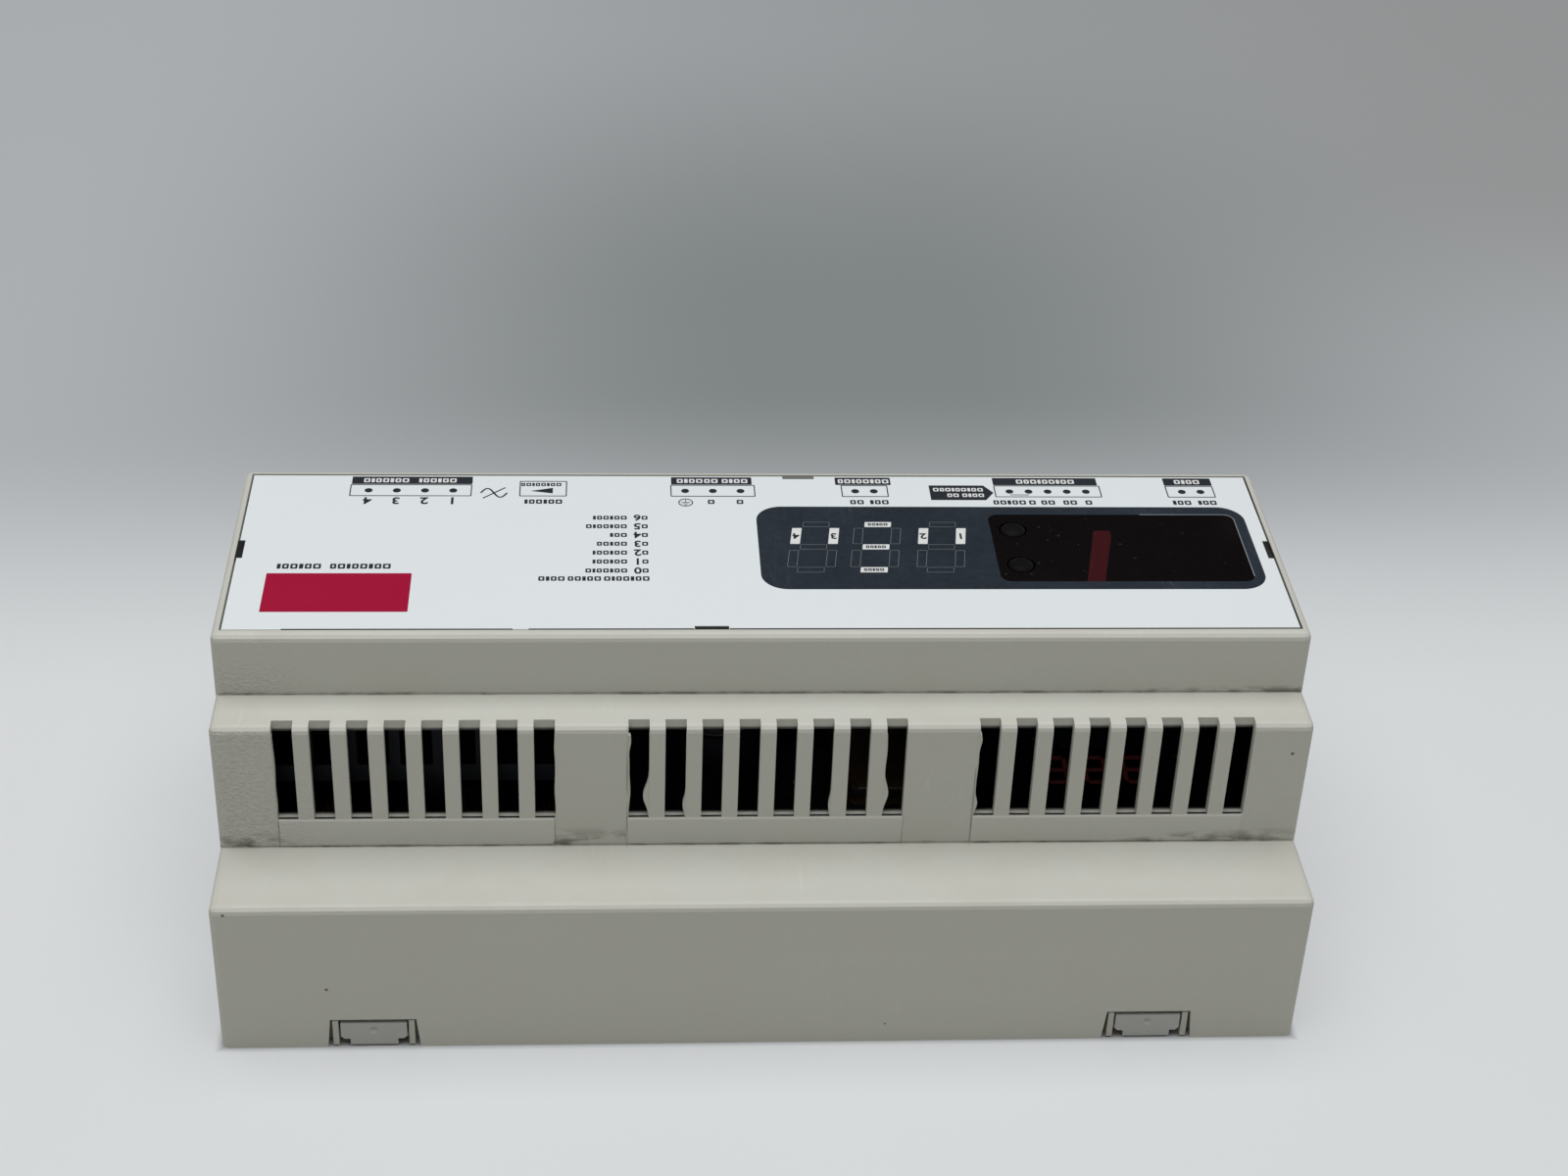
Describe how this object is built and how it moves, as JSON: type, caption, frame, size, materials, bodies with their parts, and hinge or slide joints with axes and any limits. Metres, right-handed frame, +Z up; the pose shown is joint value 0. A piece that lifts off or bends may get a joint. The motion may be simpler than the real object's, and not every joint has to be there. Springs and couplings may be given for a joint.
{
  "type": "rail-mounted transistor dimmer",
  "caption": "Stepped grey DIN-rail dimmer housing with vent slots, white front label, dark display window, push buttons, screw terminals and sliding rail clips.",
  "frame": {"origin": "middle of the underside, on the surface that the base rests on", "axes": "+X along the housing to the display end, +Y from the rail clips towards the terminals, +Z up through the front label"},
  "size_m": [0.16, 0.09, 0.0584],
  "materials": {
    "hood_plastic": "warm light grey moulded plastic, fine matt texture",
    "base_plastic": "warm light grey moulded plastic",
    "clip_plastic": "mid grey acetal, slight sheen",
    "label_white": "cool white printed label on a plastic plate, satin",
    "window_tint": "dark red tinted glossy acrylic",
    "button_black": "black moulded plastic",
    "guide_black": "black moulded plastic",
    "switch_body": "black moulded plastic",
    "display_body": "dark red potted display body",
    "board_green": "glass-fibre circuit board with green solder mask",
    "terminal_grey": "dark grey moulded plastic",
    "screw_steel": "zinc-plated steel",
    "sink_aluminium": "black anodised extrusion",
    "epoxy_black": "black moulded epoxy",
    "winding_copper": "enamelled copper wire on an iron powder ring",
    "tape_yellow": "yellow polyester tape over a ferrite core",
    "sleeve_black": "dark shrink sleeve on an aluminium can",
    "film_box": "yellow plastic box",
    "fuse_glass": "clear glass tube with plated end caps",
    "holder_brass": "tinned brass"
  },
  "bodies": {
    "housing": {"housing_shell": "hood_plastic", "rail_base": "base_plastic", "front_panel": "label_white", "display_window": "window_tint", "button_switch_1": "switch_body", "button_switch_2": "switch_body", "button_guide": "guide_black", "digit_display": "display_body", "power_board": "board_green", "control_board": "board_green", "board_screw_1": "screw_steel", "board_screw_2": "screw_steel", "board_screw_3": "screw_steel", "board_screw_4": "screw_steel", "output_terminal_block": "terminal_grey", "mains_terminal_block": "terminal_grey", "override_terminal_block": "terminal_grey", "control_terminal_block": "terminal_grey", "bus_terminal_block": "terminal_grey", "output_terminal_screw_1": "screw_steel", "output_terminal_screw_2": "screw_steel", "output_terminal_screw_3": "screw_steel", "output_terminal_screw_4": "screw_steel", "mains_terminal_screw_1": "screw_steel", "mains_terminal_screw_2": "screw_steel", "mains_terminal_screw_3": "screw_steel", "override_terminal_screw_1": "screw_steel", "override_terminal_screw_2": "screw_steel", "control_terminal_screw_1": "screw_steel", "control_terminal_screw_2": "screw_steel", "control_terminal_screw_3": "screw_steel", "control_terminal_screw_4": "screw_steel", "control_terminal_screw_5": "screw_steel", "bus_terminal_screw_1": "screw_steel", "bus_terminal_screw_2": "screw_steel", "heat_sink": "sink_aluminium", "power_transistor_1": "epoxy_black", "power_transistor_2": "epoxy_black", "power_transistor_3": "epoxy_black", "power_transistor_4": "epoxy_black", "power_transistor_5": "epoxy_black", "power_transistor_6": "epoxy_black", "power_transistor_7": "epoxy_black", "power_transistor_8": "epoxy_black", "output_choke_1": "winding_copper", "output_choke_2": "winding_copper", "output_choke_3": "winding_copper", "output_choke_4": "winding_copper", "supply_transformer": "tape_yellow", "bulk_capacitor": "sleeve_black", "film_capacitor": "film_box", "mains_fuse": "fuse_glass", "fuse_holder": "holder_brass", "processor": "epoxy_black", "board_link": "switch_body"},
    "button_1": {"push_button_1": "button_black"},
    "button_2": {"push_button_2": "button_black"},
    "clip_left": {"rail_clip_left": "clip_plastic"},
    "clip_right": {"rail_clip_right": "clip_plastic"}
  },
  "joints": [
    {"name": "button_1_press", "type": "slide", "parent": "housing", "child": "button_1", "axis": [0, 0, -1], "range_m": [0, 0.0005], "stiffness_N_per_m": 1600, "springref_m": -0.0002},
    {"name": "button_2_press", "type": "slide", "parent": "housing", "child": "button_2", "axis": [0, 0, -1], "range_m": [0, 0.0005], "stiffness_N_per_m": 1600, "springref_m": -0.0002},
    {"name": "clip_left_pull", "type": "slide", "parent": "housing", "child": "clip_left", "axis": [0, -1, 0], "range_m": [0, 0.004], "stiffness_N_per_m": 2500, "springref_m": -0.001},
    {"name": "clip_right_pull", "type": "slide", "parent": "housing", "child": "clip_right", "axis": [0, -1, 0], "range_m": [0, 0.004], "stiffness_N_per_m": 2500, "springref_m": -0.001}
  ]
}
